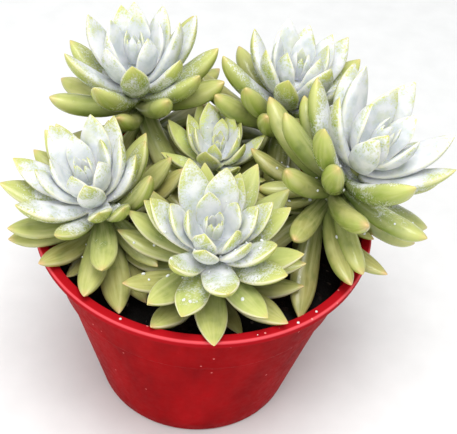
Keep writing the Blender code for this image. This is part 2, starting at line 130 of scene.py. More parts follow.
def makeLeafSkin():
    # Living leaf: the bare skin has a soft waxy sheen and passes some light; the powder is matt and chalky.
    skin, tree, shader = newMaterial("powderedSucculentSkin")
    place = addNode(tree, "TexCoord").outputs["Object"]
    along, across, upper, age, powder, seed, paintedLight = (
        addNode(tree, "Attribute", attribute_name=name).outputs["Fac"] for name in leafLayers)
    out = addNode(tree, "Math", {0: across}, operation="ABSOLUTE").outputs[0]
    cloud = addNode(tree, "TexNoise", {"Vector": place, "Scale": 1 / (6 * mm), "Detail": 2}).outputs["Fac"]
    grain = addNode(tree, "TexNoise", {
        "Vector": place, "Scale": 1 / (0.8 * mm), "Detail": 3, "Roughness": 0.7,
    }).outputs["Fac"]
    fibre = addNode(tree, "CombineXYZ", {"X": across, "Y": along, "Z": seed}).outputs[0]
    fibre = addNode(tree, "Mapping", {"Vector": fibre, "Scale": (2.0, 1.3, 40)}).outputs[0]
    streaks = addNode(tree, "TexNoise", {"Vector": fibre, "Scale": 2.0, "Detail": 3}).outputs["Fac"]

    # bare skin: lime when young, duller when full grown, olive when old; then one tint over another
    green = addNode(tree, "ValToRGB", {"Fac": age}, [
        (0.0, hexColour(leafColours["youngGreen"])),
        (0.5, hexColour(leafColours["fullGreen"])),
        (1.0, hexColour(leafColours["oldGreen"])),
    ]).outputs[0]
    limeShare = addNode(tree, "MapRange", {0: age, 1: 0.2, 2: 0.9, 3: 0.75, 4: 0.3}).outputs[0]
    edgeShare = addNode(tree, "MapRange", {0: age, 1: 0.3, 2: 1.0, 3: 0.75, 4: 0.35}).outputs[0]
    blushShare = addNode(tree, "MapRange", {0: age, 4: 0.6}).outputs[0]
    tints = [  # colour, what it follows there and how far
        ("underGreen", {0: upper, 1: 0.1, 2: -0.6, 4: 0.85}),
        # painted light: a paler lime over a whole plant, standing in for light from above
        ("freshGreen", {0: paintedLight}),
        ("footGreen", {0: cloud, 1: 0.5, 2: 0.68, 4: 0.4}),
        # painted shade: the leaf darkens towards its foot, where it sits in among the others
        ("footGreen", {0: along, 1: 0.62, 2: 0.0, 4: 0.85}),
        ("streak", {0: streaks, 1: 0.4, 2: 0.75, 4: 0.5}),
        ("limeTip", {0: along, 1: 0.6, 2: 0.95, 4: limeShare}),
        ("margin", {0: out, 1: 0.86, 2: 1.0, 4: edgeShare}),
        ("blush", {0: along, 1: 0.91, 2: 1.0, 4: blushShare}),
    ]
    for name, follows in tints:
        share = addNode(tree, "MapRange", follows).outputs[0]
        tint = hexColour(leafColours[name])
        green = addNode(tree, "Mix", {0: share, 6: green, 7: tint}, data_type="RGBA").outputs[2]

    # powder: its edge breaks into patches of about 6 mm and then into specks of about 1 mm
    patches = addNode(tree, "MapRange", {0: cloud, 1: 0.3, 2: 0.7, 3: -0.18, 4: 0.18}).outputs[0]
    specks = addNode(tree, "MapRange", {0: grain, 1: 0.3, 2: 0.7, 3: -0.28, 4: 0.28}).outputs[0]
    amount = addNode(tree, "Math", {0: powder, 1: patches}, operation="ADD").outputs[0]
    amount = addNode(tree, "Math", {0: amount, 1: specks}, operation="ADD").outputs[0]
    covered = addNode(tree, "MapRange", {0: amount, 1: 0.35, 2: 0.68, 4: 0.95}).outputs[0]
    pools = addNode(tree, "TexNoise", {
        "Vector": place, "Scale": 1 / (8 * mm), "Detail": 4, "Roughness": 0.6,
    }).outputs["Fac"]
    wet = addNode(tree, "MapRange", {0: pools, 1: 0.54, 2: 0.64}).outputs[0]
    dry = addNode(tree, "MapRange", {0: wet, 3: 1.0, 4: 0.72}).outputs[0]
    covered = addNode(tree, "Math", {0: covered, 1: dry}, operation="MULTIPLY").outputs[0]
    white = addNode(tree, "ValToRGB", {"Fac": cloud}, [
        (0.36, hexColour(leafColours["powderShade"])),
        (0.6, hexColour(leafColours["powder"])),
    ]).outputs[0]
    colour = addNode(tree, "Mix", {0: covered, 6: green, 7: white}, data_type="RGBA").outputs[2]
    rimShare = addNode(tree, "MapRange", {0: age, 1: 0.2, 2: 1.0, 3: 0.6, 4: 0.3}).outputs[0]
    rim = addNode(tree, "MapRange", {0: out, 1: 0.92, 2: 1.0, 4: rimShare}).outputs[0]
    rimTint = hexColour(leafColours["rim"])
    colour = addNode(tree, "Mix", {0: rim, 6: colour, 7: rimTint}, data_type="RGBA").outputs[2]
    tree.links.new(colour, shader.inputs["Base Color"])
    rough = addNode(tree, "MapRange", {0: covered, 3: 0.25, 4: 0.75}).outputs[0]
    rough = addNode(tree, "Math", {0: rough, 1: dry}, operation="MULTIPLY").outputs[0]
    tree.links.new(rough, shader.inputs["Roughness"])
    film = addNode(tree, "MapRange", {0: wet, 3: 0.08, 4: 0.5}).outputs[0]  # a film of water
    tree.links.new(film, shader.inputs["Coat Weight"])
    shader.inputs["Coat Roughness"].default_value = 0.12
    shader.inputs["Coat IOR"].default_value = 1.33
    relief = addNode(tree, "Bump", {"Height": grain, "Strength": 0.22, "Distance": 0.2 * mm})
    tree.links.new(relief.outputs[0], shader.inputs["Normal"])
    shader.inputs["Subsurface Weight"].default_value = 0.25
    shader.inputs["Subsurface Radius"].default_value = (0.9, 1.0, 0.4)
    shader.inputs["Subsurface Scale"].default_value = 2.2 * mm
    shader.inputs["IOR"].default_value = 1.42
    return skin


leafForm = {
    "rows": (-0.07, 0.0, 0.08, 0.18, 0.29, 0.4, 0.51, 0.62, 0.72, 0.81, 0.885, 0.94, 0.975),
    "around": 14,
    "widest": 0.56,  # how far along the leaf is widest, and thickest
    "fattest": 0.45,
    "waist": 1.3,  # more would draw the lower half in towards the foot
    "footDepth": 0.55,  # thickness of the foot against the fattest place
    "blunt": 1.6,  # of the tip: 1 would run straight to the point
    "deepTip": 0.8,  # the tip is this much blunter seen from the side
    "pinch": 1.14,  # 1 would be an even lens in section
    "upperShare": 0.36,  # of the thickness that lies above the margins
    "channel": 0.45,  # how far the upper face of a flat young leaf sinks between its margins
    "filled": 0.8,  # and how much of that the oldest leaf has lost
    "wave": 0.25 * mm,  # unevenness of the flesh
    "waveLength": 7 * mm,
    "tipWave": 0.2,  # what is left of the wave in the last tenth, so the tip stays sharp
    "roll": math.radians(6),  # how far a leaf may turn about its own length
    "ageSpread": 0.1,
    "powderSpread": 0.09,
    "tipWear": 0.6,  # powder rubbed off the outer half, and how much more for a rubbed plant
    "tipRubbed": 1.6,
    "budClosing": 0.45,  # how far the bud's leaves lean in over the growing tip
    "budCore": 0.82,  # size of the bud's inner leaves against its outer ones
    "swellOver": 0.6 * mm,  # the crowded leaf feet stand this far past the roots
    "swellFlat": 0.75,
    "swellBare": 0.1,  # less powder there
}

fingerForm = {  # a finger-like leaf: its own tip, foot and thickness, and what it changes of the rest
    "blunt": 3.4,
    "foot": 0.8,
    "plump": 0.84,
    "slim": 0.88,
    "pinch": -0.16,
    "upperShare": 0.09,
    "margin": 0.2,  # it has no sharp margin
}

solidLeaf = {  # the solid leaf: corners of a ring, rings, and how far along they stand, from root to tip
    "corners": 6,
    "rings": 4,
    "places": (0, 0.25, 0.6, 0.875, 1),
    "tipAngles": math.radians(240),  # the angles of the faces at its tip add up to less than this
}

# age, powder on the upper and lower face, breadth, thickness and foot against breadth, how finger-like
leafKinds = {
    "bud": (0.0, 0.95, 0.9, 2.1, 0.6, 0.95, 0),
    "heart": (0.05, 0.92, 0.85, 1.55, 0.45, 0.9, 0),
    "inner": (0.14, 0.9, 0.78, 1.42, 0.44, 0.85, 0.1),
    "upper": (0.28, 0.8, 0.54, 1.24, 0.46, 0.78, 0.25),
    "middle": (0.45, 0.55, 0.24, 1.12, 0.5, 0.7, 0.6),
    "outer": (0.6, 0.16, -0.02, 1.04, 0.55, 0.62, 1),
    "lower": (0.75, -0.04, -0.14, 1.02, 0.6, 0.56, 1),
    "skirt": (0.9, -0.1, -0.14, 1.0, 0.58, 0.52, 0.65),
    "ground": (1.0, -0.14, -0.14, 1.0, 0.56, 0.5, 0.35),
}

# more or less powder and age, powder rubbed off, how finger-like the old leaves are, and painted light: a
# paler green over the whole plant
plantHabits = {
    "front": (0.02, -0.05, 0.2, 0.1, 0.1),
    "left": (0.06, 0.06, 0.16, 0.4, 0),
    "back_left": (0.08, 0, 0.12, 1, 0),
    "back_right": (0.1, 0, 0.12, 1, 0),
    "right": (0.14, 0, 0.16, 1, 0),
    # the middle plant: its paler green is painted light, and its younger age partly so, lightening it as if
    # lit from above
    "middle": (0.0, -0.2, 0.4, 0.2, 0.9),
}


def makeLeafBlank():
    # a tube from z = 0 at the root to a point at z = 1, which each leaf bends to its own line
    bm = bmesh.new()
    bmesh.ops.create_circle(bm, cap_ends=True, segments=leafForm["around"], radius=1)
    bmesh.ops.translate(bm, verts=bm.verts, vec=(0, 0, leafForm["rows"][0]))
    edges = list(bm.edges)
    for low, high in zip(leafForm["rows"], leafForm["rows"][1:] + (1.0,)):
        made = bmesh.ops.extrude_edge_only(bm, edges=edges)["geom"]
        ring = [g for g in made if isinstance(g, bmesh.types.BMVert)]
        edges = [g for g in made if isinstance(g, bmesh.types.BMEdge)]
        bmesh.ops.translate(bm, verts=ring, vec=(0, 0, high - low))
    bmesh.ops.pointmerge(bm, verts=ring, merge_co=(0, 0, 1))
    blank = bpy.data.meshes.new("leafBlank")
    bm.to_mesh(blank)
    bm.free()
    return blank


def isTip(vert):
    angles = sum(loop.calc_angle() for loop in vert.link_loops)
    return len(vert.link_edges) == solidLeaf["corners"] and angles < solidLeaf["tipAngles"]


def ringsFrom(tip):
    # the solid leaf's rings of corners, from its tip down to its root, each in a fixed order
    rings = [[tip]]
    seen = {tip}
    for _ in range(solidLeaf["rings"]):
        ring = {edge.other_vert(vert) for vert in rings[-1] for edge in vert.link_edges} - seen
        seen |= ring
        rings.append(sorted(ring, key=lambda vert: vert.index))
    return rings[1:]


def ringShape(ring):
    # middle, upper direction and half width of a ring; its two short sides are the leaf's margins
    order = [ring[0]]
    while len(order) < solidLeaf["corners"]:
        joined = [e.other_vert(order[-1]) for e in order[-1].link_edges]
        order.append(next(v for v in joined if v in ring and v not in order))
    points = [v.co for v in order]
    first = min(range(len(points)), key=lambda i: (points[i] - points[(i + 1) % len(points)]).length)
    points = points[first:] + points[:first]
    left = (points[0] + points[1]) / 2
    right = (points[3] + points[4]) / 2
    middle = (left + right) / 2
    upper, lower = sorted((points[2], points[5]), key=lambda p: (p - middle).length)
    return middle, (upper - lower).normalized(), (right - left).length / 2


def readLeaves(bm):
    leaves = []
    for tip in [v for v in bm.verts if isTip(v)]:
        rings = ringsFrom(tip)
        if any(len(ring) != solidLeaf["corners"] for ring in rings):
            continue
        root = sum((v.co for v in rings[-1]), Vector()) / len(rings[-1])
        nearTip, body, nearFoot = (ringShape(ring) for ring in rings[:-1])
        line = np.polyfit(solidLeaf["places"], (root, nearFoot[0], body[0], nearTip[0], tip.co), 4)
        leaves.append({"line": line, "up": body[1], "half": body[2], "root": root, "tip": tip.co.copy()})
    return leaves


def leafOutline(s, foot, blunt):
    widest = leafForm["widest"]
    if s < widest:
        return foot + (1 - foot) * math.sin(math.pi / 2 * max(s, 0) / widest) ** leafForm["waist"]
    return 1 - ((s - widest) / (1 - widest)) ** blunt


def leafDepth(s, blunt):
    fattest, foot = leafForm["fattest"], leafForm["footDepth"]
    if s < fattest:
        return foot + (1 - foot) * math.sin(math.pi / 2 * max(s, 0) / fattest)
    return 1 - ((s - fattest) / (1 - fattest)) ** (leafForm["deepTip"] + blunt)


def leafPoint(leaf, across, up, s):
    # a point of the leaf's skin: across and up run round a unit circle, s from root to tip
    powers = np.array([s ** 4, s ** 3, s ** 2, s, 1])
    slopes = np.array([4 * s ** 3, 3 * s ** 2, 2 * s, 1, 0])
    middle = Vector(powers @ leaf["line"])
    along = Vector(slopes @ leaf["line"]).normalized()
    side = along.cross(leaf["up"]).normalized()
    normal = side.cross(along)
    pinch = leafForm["pinch"] + fingerForm["pinch"] * leaf["finger"]
    share = leafForm["upperShare"] + fingerForm["upperShare"] * leaf["finger"]
    if up > 0:
        share *= 1 - leaf["channel"] * (1 - across ** 2)
    else:
        share = 1 - share
    point = middle + side * across * leaf["half"] * leafOutline(s, leaf["foot"], leaf["blunt"])
    lens = math.copysign(abs(up) ** pinch, up)
    return point + normal * lens * share * leaf["thick"] * leafDepth(s, leaf["blunt"])


def budAxis(leaves):
    middle = sum((leaf["root"] for leaf in leaves), Vector()) / len(leaves)
    return middle, sum((leaf["tip"] - leaf["root"] for leaf in leaves), Vector()).normalized()


def turnedLeaf(leaf, middle, axis, angle, size):
    # a smaller copy of a leaf, turned about the bud's axis
    move = Matrix.Translation(middle) @ Matrix.Rotation(angle, 4, axis) @ Matrix.Scale(size, 4)
    move @= Matrix.Translation(-middle)
    line = [move.to_3x3() @ Vector(term) for term in leaf["line"][:4]] + [move @ Vector(leaf["line"][4])]
    up = (move.to_3x3() @ leaf["up"]).normalized()
    return {"line": np.array(line), "up": up, "half": leaf["half"] * size,
            "root": move @ leaf["root"], "tip": move @ leaf["tip"]}


def fillOut(leaf, kind, fingers, leafAge, turn):
    # gives a leaf that was read from its solid the full body of its kind
    breadth, plump, foot, finger = leafKinds[kind][3:]
    leaf["finger"] = finger * fingers
    leaf["half"] *= breadth * (1 + (fingerForm["slim"] - 1) * leaf["finger"])
    leaf["thick"] = 2 * leaf["half"] * (plump + (fingerForm["plump"] - plump) * leaf["finger"])
    leaf["blunt"] = leafForm["blunt"] + (fingerForm["blunt"] - leafForm["blunt"]) * leaf["finger"]
    leaf["foot"] = foot + (fingerForm["foot"] - foot) * leaf["finger"]
    leaf["channel"] = leafForm["channel"] * (1 - leaf["finger"]) * (1 - leafForm["filled"] * leafAge)
    along = (leaf["tip"] - leaf["root"]).normalized()
    leaf["up"] = Matrix.Rotation(turn * leafForm["roll"], 3, along) @ leaf["up"]


def addSwelling(bm, leaves, middle, axis):
    # the crowded feet of the leaves, as one swelling round the stem
    feet = sum((leaf["root"] - middle).cross(axis).length for leaf in leaves) / len(leaves)
    turn = axis.to_track_quat("Z", "Y").to_matrix().to_4x4()
    place = Matrix.Translation(middle) @ turn @ Matrix.Diagonal((1, 1, leafForm["swellFlat"], 1))
    radius = feet + leafForm["swellOver"]
    return bmesh.ops.create_uvsphere(bm, u_segments=14, v_segments=8, radius=radius, matrix=place)["verts"]


def buildWhorl(node, blank, skin):
    plant = node.split("_bud")[0] if node.endswith("_bud") else node.rsplit("_", 2)[0]
    kind = "bud" if node.endswith("_bud") else node.rsplit("_", 2)[1]
    age, upperPowder, lowerPowder = leafKinds[kind][:3]
    morePowder, older, rubbed, fingers, paintedLight = plantHabits[plant]
    tipWear = leafForm["tipWear"] + leafForm["tipRubbed"] * rubbed
    ageSpread, powderSpread = leafForm["ageSpread"], leafForm["powderSpread"]
    chance = random.Random(node)
    solid = mergedCopy(node)
    leaves = readLeaves(solid)
    solid.free()
    middle, axis = budAxis(leaves)
    if kind == "bud":
        between = math.pi / len(leaves)
        leaves += [turnedLeaf(leaf, middle, axis, between, leafForm["budCore"]) for leaf in leaves]
    bm = bmesh.new()
    layers = {name: bm.verts.layers.float.new(name) for name in leafLayers}
    for leaf in leaves:
        leafAge = min(1, max(0, age + older + chance.uniform(-ageSpread, ageSpread)))
        leafPowder = morePowder + chance.uniform(-powderSpread, powderSpread)
        seed = chance.random()
        fillOut(leaf, kind, fingers, leafAge, chance.uniform(-1, 1))
        shift = Vector((seed * 9, 0, 0))  # each leaf waves in its own way
        start = len(bm.verts)
        bm.from_mesh(blank)
        bm.verts.ensure_lookup_table()
        for vert in bm.verts[start:]:
            across, up, s = vert.co
            worn = tipWear * max(0, s - 0.5) + rubbed * across ** 2  # towards the tip and the margins
            vert[layers["leafAlong"]] = s
            vert[layers["leafAcross"]] = across * (1 - fingerForm["margin"] * leaf["finger"])
            vert[layers["leafUpper"]] = up
            vert[layers["leafAge"]] = leafAge
            vert[layers["leafPowder"]] = (upperPowder if up > 0 else lowerPowder) + leafPowder - worn
            vert[layers["leafSeed"]] = seed
            vert[layers["leafFresh"]] = paintedLight
            point = leafPoint(leaf, across, up, s)
            outward = (point - leafPoint(leaf, 0, 0, s)).normalized()
            wave = noise.noise(point / leafForm["waveLength"] + shift) * leafForm["wave"]
            vert.co = point + outward * wave * (1 if s < 0.9 else leafForm["tipWave"])
            if kind == "bud":
                off = vert.co - middle
                vert.co -= (off - axis * off.dot(axis)) * leafForm["budClosing"]
    for vert in addSwelling(bm, leaves, middle, axis):
        vert[layers["leafAge"]] = min(1, max(0, age + older))
        vert[layers["leafPowder"]] = upperPowder + morePowder - leafForm["swellBare"]
    bmesh.ops.recalc_face_normals(bm, faces=bm.faces)
    name = "".join(word.capitalize() for word in node.split("_"))
    addPiece("leaf" + name, bm, skin, [node], levels=1)
    return leaves


# pot: moulded polypropylene, coloured through

potForm = {
    "rim": 70 * mm,  # outer radius of the lip
    "foot": 44 * mm,
    "height": 92 * mm,
    "lip": 4.4 * mm,  # its width and its depth
    "lipDrop": 3.2 * mm,
    "wall": 1.6 * mm,
    "floor": 2.0 * mm,
    "step": 64 * mm,  # height and depth of the step in the wall
    "stepDepth": 1.2 * mm,
    "soft": 0.5 * mm,  # rounding of the lip's edges
    "sides": 144,
    "unround": 0.0035,  # thin walls are never quite round: by this share of the radius,
    "unroundOver": 45 * mm,  # slowly, over about this length
    "holes": 6,
    "holeRadius": 4 * mm,
    "holeCircle": 30 * mm,
    "crispAngle": math.radians(38),  # edges sharper than this aren't smoothed over
}

potColours = {
    "deep": "#7E0309",
    "wall": "#92050B",
    "worn": "#A70D14",
    # painted light: the lip's lighter red, and a painted pink highlight along its edge
    "lip": "#9F1119",
    "edge": "#E85A62",
    "speck": "#E08A86",
}


def makePotPlastic():
    # Polypropylene: injection moulded, with a satin face, faint flow clouds, scuffs and splashes of lime.
    plastic, tree, shader = newMaterial("redPolypropylene")
    top, rim = potForm["height"], potForm["rim"]
    place = addNode(tree, "TexCoord").outputs["Object"]
    height = addNode(tree, "SeparateXYZ", {0: place}).outputs[2]
    reach = addNode(tree, "VectorMath", {0: place, 1: (1, 1, 0)}, operation="MULTIPLY").outputs[0]
    reach = addNode(tree, "VectorMath", {0: reach}, operation="LENGTH").outputs["Value"]
    flow = addNode(tree, "Mapping", {"Vector": place, "Scale": (1, 1, 0.35)}).outputs[0]
    clouds = addNode(tree, "TexNoise", {
        "Vector": flow, "Scale": 1 / (14 * mm), "Detail": 4, "Roughness": 0.6,
    }).outputs["Fac"]
    base = addNode(tree, "ValToRGB", {"Fac": clouds}, [
        (0.3, hexColour(potColours["deep"])),
        (0.54, hexColour(potColours["wall"])),
        (0.78, hexColour(potColours["worn"])),
    ]).outputs[0]

    # the lip is painted a lighter red, as painted light on it, and its rounded outer top edge carries a
    # thin painted pink highlight
    lip = addNode(tree, "MapRange", {0: height, 1: top - 4.5 * mm, 2: top - 2.5 * mm}).outputs[0]
    high = addNode(tree, "MapRange", {0: height, 1: top - 1.1 * mm, 2: top - 0.5 * mm, 4: 0.75}).outputs[0]
    edge = addNode(tree, "MapRange", {0: reach, 1: rim - 1 * mm, 2: rim - 0.5 * mm, 4: high}).outputs[0]

    # lime specks, fewer towards the foot
    dots = addNode(tree, "TexVoronoi", {"Vector": place, "Scale": 1 / (4.5 * mm), "Randomness": 1.0})
    speck = addNode(tree, "MapRange", {0: dots.outputs["Distance"], 1: 0.11, 2: 0.06}).outputs[0]
    pick = addNode(tree, "SeparateColor", {0: dots.outputs["Color"]}).outputs[0]
    often = addNode(tree, "MapRange", {0: height, 1: 20 * mm, 2: top, 3: 0.06, 4: 0.5}).outputs[0]
    pick = addNode(tree, "Math", {0: pick, 1: often}, operation="LESS_THAN").outputs[0]
    speck = addNode(tree, "Math", {0: speck, 1: pick}, operation="MULTIPLY").outputs[0]
    for name, share in (("lip", lip), ("edge", edge), ("speck", speck)):
        tint = hexColour(potColours[name])
        base = addNode(tree, "Mix", {0: share, 6: base, 7: tint}, data_type="RGBA").outputs[2]
    tree.links.new(base, shader.inputs["Base Color"])

    scuffs = addNode(tree, "TexNoise", {
        "Vector": place, "Scale": 1 / (3 * mm), "Detail": 5, "Roughness": 0.7,
    }).outputs["Fac"]
    rough = addNode(tree, "MapRange", {0: scuffs, 1: 0.3, 2: 0.7, 3: 0.34, 4: 0.56}).outputs[0]
    tree.links.new(rough, shader.inputs["Roughness"])
    relief = addNode(tree, "Bump", {"Height": scuffs, "Strength": 0.12, "Distance": 0.2 * mm})
    tree.links.new(relief.outputs[0], shader.inputs["Normal"])
    shader.inputs["IOR"].default_value = 1.49
    shader.inputs["Specular IOR Level"].default_value = 0.012  # weathered and dusty: it hardly mirrors
    return plastic


def potWall(height, inset=0.0):
    top = potForm["rim"] - potForm["lip"] + potForm["wall"]
    radius = potForm["foot"] + (top - potForm["stepDepth"] - potForm["foot"]) * height / potForm["height"]
    return radius + (potForm["stepDepth"] if height > potForm["step"] else 0) - inset


def potProfile():
    # radius and height of each point, from the middle of the underside, up the outside and down the inside
    rim, foot, top = potForm["rim"], potForm["foot"], potForm["height"]
    step, wall, soft, floor = potForm["step"], potForm["wall"], potForm["soft"], potForm["floor"]
    under, bore = top - potForm["lipDrop"], rim - potForm["lip"]
    outside = [1.5 * mm, 8 * mm, step / 2, step - soft]
    outside += [step, step + 1.2 * mm, step + 2 * mm, under - 2 * soft]
    inside = [under - 2 * mm, step + 2.8 * mm, step, 4 * mm]
    return [
        (0, 0.6 * mm), (foot - 9 * mm, 0.6 * mm),  # the middle stands clear of the table
        (foot - 8 * mm, 0), (foot - 2 * mm, 0), (foot - 0.7 * mm, 0.4 * mm),
        *((potWall(height), height) for height in outside),
        (potWall(under), under - 0.3 * soft), (potWall(under) + soft, under),
        (rim - 1.2 * soft, under), (rim - 0.3 * soft, under + 0.3 * soft), (rim, under + 1.4 * soft),
        (rim, top - 1.8 * soft), (rim - 0.5 * soft, top - 0.5 * soft), (rim - 1.8 * soft, top),
        (bore + 1.8 * soft, top), (bore + 0.5 * soft, top - 0.5 * soft), (bore, top - 1.8 * soft),
        *((potWall(height, wall), height) for height in inside),
        (potWall(4 * mm, wall + 2 * mm), floor), (0, floor),
    ]


def drillHoles(pot):
    bm = bmesh.new()
    for hole in range(potForm["holes"]):
        turn = Matrix.Rotation(math.tau * hole / potForm["holes"], 4, "Z")
        place = turn @ Matrix.Translation((potForm["holeCircle"], 0, 0))
        bmesh.ops.create_cone(bm, cap_ends=True, segments=40, radius1=potForm["holeRadius"],
                              radius2=potForm["holeRadius"], depth=12 * mm, matrix=place)
    mesh = bpy.data.meshes.new("drainDrill")
    bm.to_mesh(mesh)
    bm.free()
    drill = bpy.data.objects.new("drainDrill", mesh)
    bpy.context.scene.collection.objects.link(drill)
    cut = pot.modifiers.new("drain", "BOOLEAN")
    cut.object = drill
    bpy.context.view_layer.update()
    pot.data = bpy.data.meshes.new_from_object(pot.evaluated_get(bpy.context.evaluated_depsgraph_get()))
    pot.modifiers.clear()
    bpy.data.objects.remove(drill)


def buildPot(plastic):
    bm = bmesh.new()
    points = [bm.verts.new((radius, 0, height)) for radius, height in potProfile()]
    edges = [bm.edges.new(pair) for pair in zip(points, points[1:])]
    bmesh.ops.spin(bm, geom=points + edges, cent=(0, 0, 0), axis=(0, 0, 1), angle=math.tau,
                   steps=potForm["sides"], use_merge=True)
    bmesh.ops.remove_doubles(bm, verts=bm.verts, dist=0.001 * mm)
    bmesh.ops.recalc_face_normals(bm, faces=bm.faces)
    for vert in bm.verts:
        place = Vector((vert.co.x, vert.co.y, vert.co.z * 0.6)) / potForm["unroundOver"]
        vert.co.xy *= 1 + potForm["unround"] * noise.noise(place)
    pot = addPiece("potShell", bm, plastic, ["pot"])
    drillHoles(pot)
    pot.data.shade_smooth()
    pot.data.set_sharp_from_angle(angle=potForm["crispAngle"])
    return pot


# potting mix

mixForm = {
    "radius": 61.2 * mm,
    "edge": 75.2 * mm,  # height at the pot's wall, and in the middle
    "middle": 78.2 * mm,
    "lumps": 1.5 * mm,  # height and breadth
    "lumpSize": 9 * mm,
    "gap": 0.5 * mm,  # to the pot's wall
    "side": (9 * mm, 14 * mm, 60 * mm, 71 * mm),  # points down the side, below the edge
    "rings": 34,
    "sides": 110,
}

mixColours = {"peat": "#070504", "damp": "#120D0A", "bark": "#2E2019", "grit": "#5A544D"}

crumbPlan = {  # how many, smallest and largest, seed
    "barkCrumbs": (420, (0.7 * mm, 2.4 * mm), 11),
    "gritCrumbs": (90, (0.5 * mm, 1.3 * mm), 23),
}


def makeMix(name, dark, light, glint):
    # Peat and bark: fibrous crumbs, nearly black where damp, with a dull wet glint on some faces.
    mix, tree, shader = newMaterial(name)
    place = addNode(tree, "TexCoord").outputs["Object"]
    crumbs = addNode(tree, "TexNoise", {
        "Vector": place, "Scale": 1 / (1.6 * mm), "Detail": 6, "Roughness": 0.75,
    }).outputs["Fac"]
    colour = addNode(tree, "ValToRGB", {"Fac": crumbs}, [
        (0.35, hexColour(dark)),
        (0.7, hexColour(light)),
    ]).outputs[0]
    tree.links.new(colour, shader.inputs["Base Color"])
    rough = addNode(tree, "MapRange", {0: crumbs, 1: 0.35, 2: 0.7, 3: glint, 4: 0.95}).outputs[0]
    tree.links.new(rough, shader.inputs["Roughness"])
    relief = addNode(tree, "Bump", {"Height": crumbs, "Strength": 0.9, "Distance": 0.8 * mm})
    tree.links.new(relief.outputs[0], shader.inputs["Normal"])
    shader.inputs["Specular IOR Level"].default_value = 0.2
    return mix


def mixHeight(x, y):
    share = min(1, math.hypot(x, y) / mixForm["radius"])
    lumps = noise.fractal(Vector((x, y, 0)) / mixForm["lumpSize"], 0.6, 2.1, 5)
    return mixForm["middle"] + (mixForm["edge"] - mixForm["middle"]) * share ** 2 + lumps * mixForm["lumps"]


def buildMix(peat):
    # a flat disc with a side and a bottom, whose top then takes its dome and lumps
    radius, edge, rings, side = mixForm["radius"], mixForm["edge"], mixForm["rings"], mixForm["side"]
    bm = bmesh.new()
    chain = [bm.verts.new((radius * ring / rings, 0, 0)) for ring in range(rings + 1)]
    for drop in side:
        reach = potWall(edge - drop, potForm["wall"] + mixForm["gap"])
        chain.append(bm.verts.new((reach, 0, edge - drop)))
    chain.append(bm.verts.new((0, 0, edge - side[-1])))
    edges = [bm.edges.new(pair) for pair in zip(chain, chain[1:])]
    bmesh.ops.spin(bm, geom=chain + edges, cent=(0, 0, 0), axis=(0, 0, 1), angle=math.tau,
                   steps=mixForm["sides"], use_merge=True)
    bmesh.ops.remove_doubles(bm, verts=bm.verts, dist=0.001 * mm)
    for vert in bm.verts:
        if vert.co.z == 0:
            vert.co.z = mixHeight(vert.co.x, vert.co.y)
    bmesh.ops.recalc_face_normals(bm, faces=bm.faces)
    return addPiece("pottingMix", bm, peat, ["soil"])


def buildCrumbs(name, finish):
    count, sizes, seed = crumbPlan[name]
    chance = random.Random(seed)
    bm = bmesh.new()
    for _ in range(count):
        reach = mixForm["radius"] * math.sqrt(chance.random()) - 2 * mm
        turn = chance.uniform(0, math.tau)
        x, y = reach * math.cos(turn), reach * math.sin(turn)
        size = chance.uniform(*sizes)
        tilt = Euler((chance.uniform(-0.5, 0.5), chance.uniform(-0.5, 0.5), chance.uniform(0, math.tau)))
        place = Matrix.Translation((x, y, mixHeight(x, y) + 0.15 * size)) @ tilt.to_matrix().to_4x4()
        wide, high = size * chance.uniform(0.4, 0.8), size * chance.uniform(0.25, 0.5)
        place @= Matrix.Diagonal((size, wide, high, 1))
        for vert in bmesh.ops.create_icosphere(bm, subdivisions=1, radius=1, matrix=place)["verts"]:
            push = Vector((chance.uniform(-1, 1), chance.uniform(-1, 1), chance.uniform(-1, 1)))
            vert.co += push * size * 0.16
    bmesh.ops.recalc_face_normals(bm, faces=bm.faces)
    piece = addPiece(name, bm, finish, ())
    piece.data.shade_flat()
    return piece


# stems

stemForm = {
    "grain": 0.7 * mm,
    "smoothings": 3,
    "swell": 0.3 * mm,
    "ringDepth": 0.2 * mm,
    "ringPitch": 4.2 * mm,
    "ringDrift": 9 * mm,  # the rings slip up and down over this length,
    "ringWander": 3,  # by up to this many radians
}

stemColours = {"olive": "#6F6A34", "green": "#9AA05A", "scar": "#B98F6C"}


def makeStemSkin():
    # Green stem: smooth and fleshy, olive with brown scars where leaves have dropped.
    skin, tree, shader = newMaterial("fleshyStem")
    place = addNode(tree, "TexCoord").outputs["Object"]
    blotch = addNode(tree, "TexNoise", {
        "Vector": place, "Scale": 1 / (5 * mm), "Detail": 4, "Roughness": 0.6,
    }).outputs["Fac"]
    colour = addNode(tree, "ValToRGB", {"Fac": blotch}, [
        (0.3, hexColour(stemColours["olive"])),
        (0.55, hexColour(stemColours["green"])),
        (0.8, hexColour(stemColours["scar"])),
    ]).outputs[0]
    tree.links.new(colour, shader.inputs["Base Color"])
    rough = addNode(tree, "MapRange", {0: blotch, 1: 0.3, 2: 0.8, 3: 0.4, 4: 0.7}).outputs[0]
    tree.links.new(rough, shader.inputs["Roughness"])
    relief = addNode(tree, "Bump", {"Height": blotch, "Strength": 0.4, "Distance": 0.4 * mm})
    tree.links.new(relief.outputs[0], shader.inputs["Normal"])
    shader.inputs["Subsurface Weight"].default_value = 0.12
    shader.inputs["Subsurface Radius"].default_value = (1.0, 0.8, 0.3)
    shader.inputs["Subsurface Scale"].default_value = 1.5 * mm
    return skin


